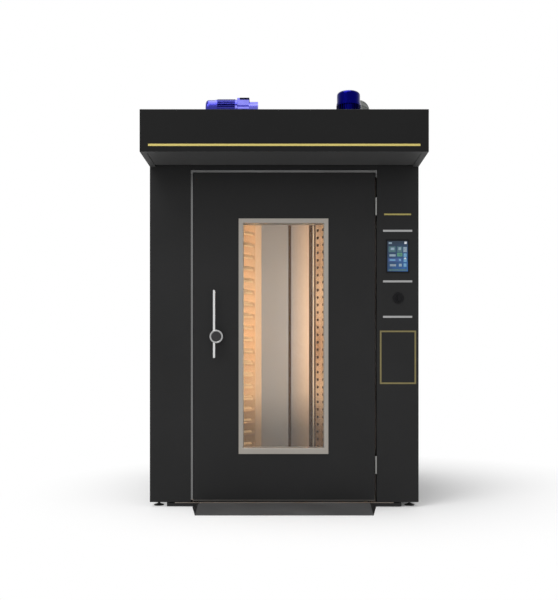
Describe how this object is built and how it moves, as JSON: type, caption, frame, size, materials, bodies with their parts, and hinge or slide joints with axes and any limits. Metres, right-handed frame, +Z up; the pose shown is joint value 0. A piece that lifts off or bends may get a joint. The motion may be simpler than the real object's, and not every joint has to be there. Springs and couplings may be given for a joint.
{
  "type": "rotating rack oven",
  "caption": "Free-standing rack oven with a tall windowed swing door, a hood over the door, a control column, an entry ramp, and a rack drive, fan and flue on the roof.",
  "frame": {"origin": "on the floor, under the middle of the whole oven's box", "axes": "+Z up, the door faces -Y, +X is the viewer's right when facing the door"},
  "size_m": [1.7, 2.3256, 2.8195],
  "materials": {
    "dark_paint": "semi-gloss anthracite powder coat",
    "soffit_paint": "semi-gloss anthracite powder coat",
    "frame_paint": "matt grey paint",
    "brushed_steel": "brushed stainless steel",
    "chamber_steel": "stainless sheet, slightly heat-tinted",
    "bezel_steel": "satin stainless steel",
    "mineral_wool": "pressed mineral wool",
    "heater_sheath": "heat-tinted heater tube",
    "steam_steel": "scaled steel",
    "zinc_steel": "zinc-plated steel",
    "fan_steel": "stainless steel",
    "galvanised_sheet": "galvanised sheet",
    "blue_enamel": "glossy blue enamel",
    "bearing_iron": "painted cast iron",
    "belt_rubber": "black rubber",
    "seal_silicone": "black silicone",
    "door_glass": "clear toughened glass",
    "lamp_glass": "lamp glass in a steel tray",
    "yellow_film": "yellow film",
    "hinge_steel": "satin steel",
    "handle_chrome": "satin chrome",
    "handle_cap_paint": "dark satin",
    "black_plastic": "black plastic",
    "screen_glass": "glossy display glass",
    "switchgear_plastic": "light grey plastic",
    "gland_nylon": "black nylon"
  },
  "bodies": {
    "cabinet": {"base_frame": "frame_paint", "levelling_feet": "zinc_steel", "cladding_panels": "dark_paint", "roof_panel": "dark_paint", "front_panels": "dark_paint", "control_column": "dark_paint", "stainless_trims": "brushed_steel", "insulation_boards": "mineral_wool", "chamber_floor": "chamber_steel", "chamber_walls": "chamber_steel", "chamber_ceiling": "chamber_steel", "plenum_top": "chamber_steel", "outlet_column": "chamber_steel", "return_column": "chamber_steel", "rear_covers": "chamber_steel", "heater_bank": "heater_sheath", "steam_generator": "steam_steel", "door_jamb": "chamber_steel", "chamber_lamps": "lamp_glass", "fan_inlet_ring": "chamber_steel", "motor_stands": "frame_paint", "motor_frames": "blue_enamel", "motor_cowls": "blue_enamel", "gearbox": "blue_enamel", "drive_belt": "belt_rubber", "rack_bearing": "bearing_iron", "flue_pipe": "galvanised_sheet", "flue_elbow": "galvanised_sheet", "hood_shell": "dark_paint", "hood_soffit": "soffit_paint", "yellow_markings": "yellow_film", "hinge_frame_leaves": "hinge_steel", "hinge_pins": "zinc_steel", "touchscreen_unit": "black_plastic", "touchscreen_glass": "screen_glass", "main_switch": "black_plastic", "switchgear": "switchgear_plastic", "entry_ramp": "brushed_steel", "panel_screws": "zinc_steel", "cable_gland": "gland_nylon"},
    "door": {"door_skin": "dark_paint", "door_core": "mineral_wool", "door_liner": "brushed_steel", "door_gasket": "seal_silicone", "window_bezel": "bezel_steel", "window_tunnel": "brushed_steel", "door_glass": "door_glass", "hinge_door_leaves": "hinge_steel", "handle_escutcheon": "handle_chrome", "latch_case": "zinc_steel"},
    "handle": {"handle_lever": "handle_chrome", "handle_cap": "handle_cap_paint"},
    "latch": {"latch_bolt": "zinc_steel"},
    "rack_drive": {"driven_pulley": "zinc_steel", "rack_shaft": "zinc_steel", "rack_carrier": "fan_steel"},
    "drive_pulley": {"drive_pulley": "zinc_steel"},
    "fan": {"fan_impeller": "fan_steel"},
    "switch_knob": {"main_switch_knob": "black_plastic"},
    "damper": {"flue_damper": "galvanised_sheet"}
  },
  "joints": [
    {"name": "door_swing", "type": "hinge", "parent": "cabinet", "child": "door", "pos_m": [0.58, -0.7932, 1], "axis": [0, 0, 1], "range_deg": [0, 115]},
    {"name": "handle_turn", "type": "hinge", "parent": "door", "child": "handle", "pos_m": [-0.424, -0.7872, 1.075], "axis": [0, 1, 0], "range_deg": [0, 60]},
    {"name": "latch_slide", "type": "slide", "parent": "door", "child": "latch", "axis": [-1, 0, 0], "range_m": [0, 0.022]},
    {"name": "rack_spin", "type": "hinge", "parent": "cabinet", "child": "rack_drive", "pos_m": [0, -0.0022, 2], "axis": [0, 0, 1], "continuous": true},
    {"name": "drive_pulley_spin", "type": "hinge", "parent": "cabinet", "child": "drive_pulley", "pos_m": [-0.282, -0.2242, 2.46], "axis": [0, 0, 1], "continuous": true},
    {"name": "fan_spin", "type": "hinge", "parent": "cabinet", "child": "fan", "pos_m": [0.445, -0.2872, 2.2], "axis": [0, 0, 1], "continuous": true},
    {"name": "main_switch_turn", "type": "hinge", "parent": "cabinet", "child": "switch_knob", "pos_m": [0.721, -0.8022, 1.321], "axis": [0, 1, 0], "range_deg": [0, 90]},
    {"name": "damper_turn", "type": "hinge", "parent": "cabinet", "child": "damper", "pos_m": [0.539, -0.0872, 2.51], "axis": [1, 0, 0], "range_deg": [0, 90]}
  ],
  "couplings": [
    {"joint": "latch_slide", "follows": "handle_turn", "m_per_rad": 0.021},
    {"joint": "drive_pulley_spin", "follows": "rack_spin", "ratio": 1.9514}
  ]
}
